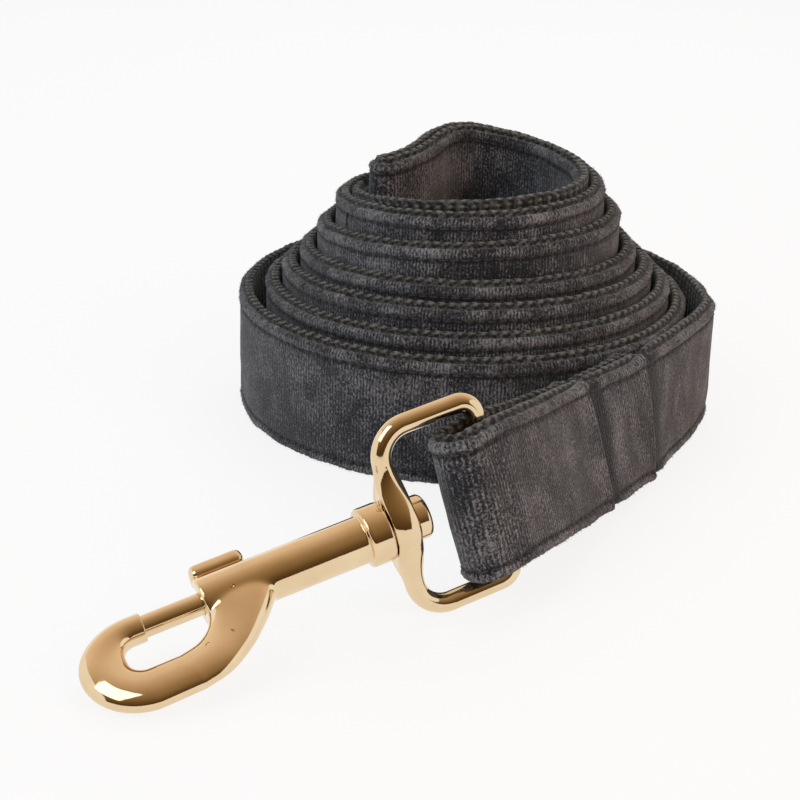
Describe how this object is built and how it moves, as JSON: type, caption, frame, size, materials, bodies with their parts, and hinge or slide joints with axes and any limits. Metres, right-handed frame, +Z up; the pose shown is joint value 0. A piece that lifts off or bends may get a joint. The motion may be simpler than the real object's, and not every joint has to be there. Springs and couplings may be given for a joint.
{
  "type": "webbing lead",
  "caption": "Velvet-faced webbing lead rolled up on edge round its own hand loop, ending in a swivel-eye bolt snap that clips to a ring.",
  "frame": {"origin": "middle of the lead's outline, on the surface it stands on", "axes": "+Z up, +Y towards the back of the coil, the snap lies towards -Y and -X"},
  "size_m": [0.1092, 0.1722, 0.0535],
  "materials": {
    "webbing": "dark grey woven polyester webbing with a chevron edge",
    "velvet": "charcoal velvet with fine pile ribs across its width",
    "thread": "dark grey polyester sewing thread",
    "gold_casting": "polished pale gold plating on a casting",
    "spring_steel": "drawn spring wire"
  },
  "bodies": {
    "strap": {"coil_webbing": "webbing", "coil_velvet": "velvet", "hook_end_webbing": "webbing", "hook_end_velvet": "velvet", "hook_end_stitches": "thread", "handle_stitches": "thread"},
    "eye": {"swivel_eye": "gold_casting"},
    "hook": {"hook_body": "gold_casting", "swivel_pin": "gold_casting", "bolt_spring": "spring_steel"},
    "bolt": {"bolt": "gold_casting", "thumb_stud": "gold_casting"}
  },
  "joints": [
    {"name": "eye_pivot", "type": "hinge", "parent": "strap", "child": "eye", "pos_m": [0.00611, -0.04707, 0.01928], "axis": [-0.2686, 0.0853, 0.9595], "range_deg": [-50, 90]},
    {"name": "swivel", "type": "hinge", "parent": "eye", "child": "hook", "pos_m": [-0.00886, -0.05405, 0.01571], "axis": [-0.8858, -0.4131, -0.2113], "continuous": true},
    {"name": "bolt_slide", "type": "slide", "parent": "hook", "child": "bolt", "axis": [0.8858, 0.4131, 0.2113], "range_m": [0, 0.0085], "stiffness_N_per_m": 250, "springref_m": -0.006, "deforming": ["bolt_spring"]}
  ]
}
